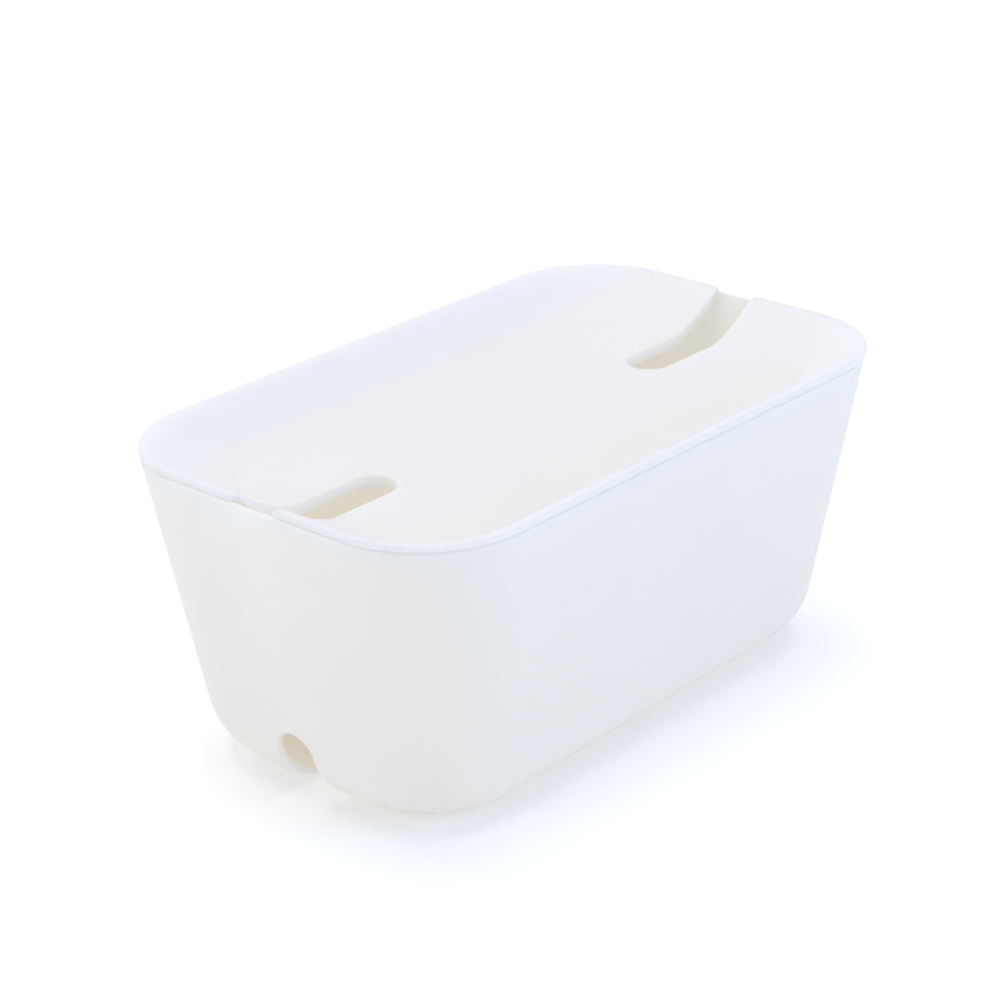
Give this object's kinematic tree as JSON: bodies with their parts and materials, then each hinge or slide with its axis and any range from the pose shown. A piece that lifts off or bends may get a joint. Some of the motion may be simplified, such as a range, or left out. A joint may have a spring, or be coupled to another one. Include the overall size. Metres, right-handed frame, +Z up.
{
  "type": "cable organiser box",
  "caption": "Tapered box with rounded corners that hides a power strip; its loose lid is a shallow tray with an open cable slot at each end, and arched cord exits sit at the foot.",
  "frame": {"origin": "on the ground, under the middle of the box", "axes": "+X along the box, +Y across it, +Z up; the tub, the lid and both slots are symmetric about X = 0 and Y = 0"},
  "size_m": [0.305, 0.1804, 0.1356],
  "materials": {
    "tub_plastic": "fine matt, warm white",
    "lid_plastic": "fine matt, white",
    "foot_rubber": "matt mid grey"
  },
  "bodies": {
    "base": {"tub": "tub_plastic", "foot_1": "foot_rubber", "foot_2": "foot_rubber", "foot_3": "foot_rubber", "foot_4": "foot_rubber"},
    "cover": {"lid": "lid_plastic"}
  },
  "joints": [
    {"name": "lid_lift", "type": "slide", "parent": "base", "child": "cover", "axis": [0, 0, 1], "range_m": [0, 0.12]}
  ]
}
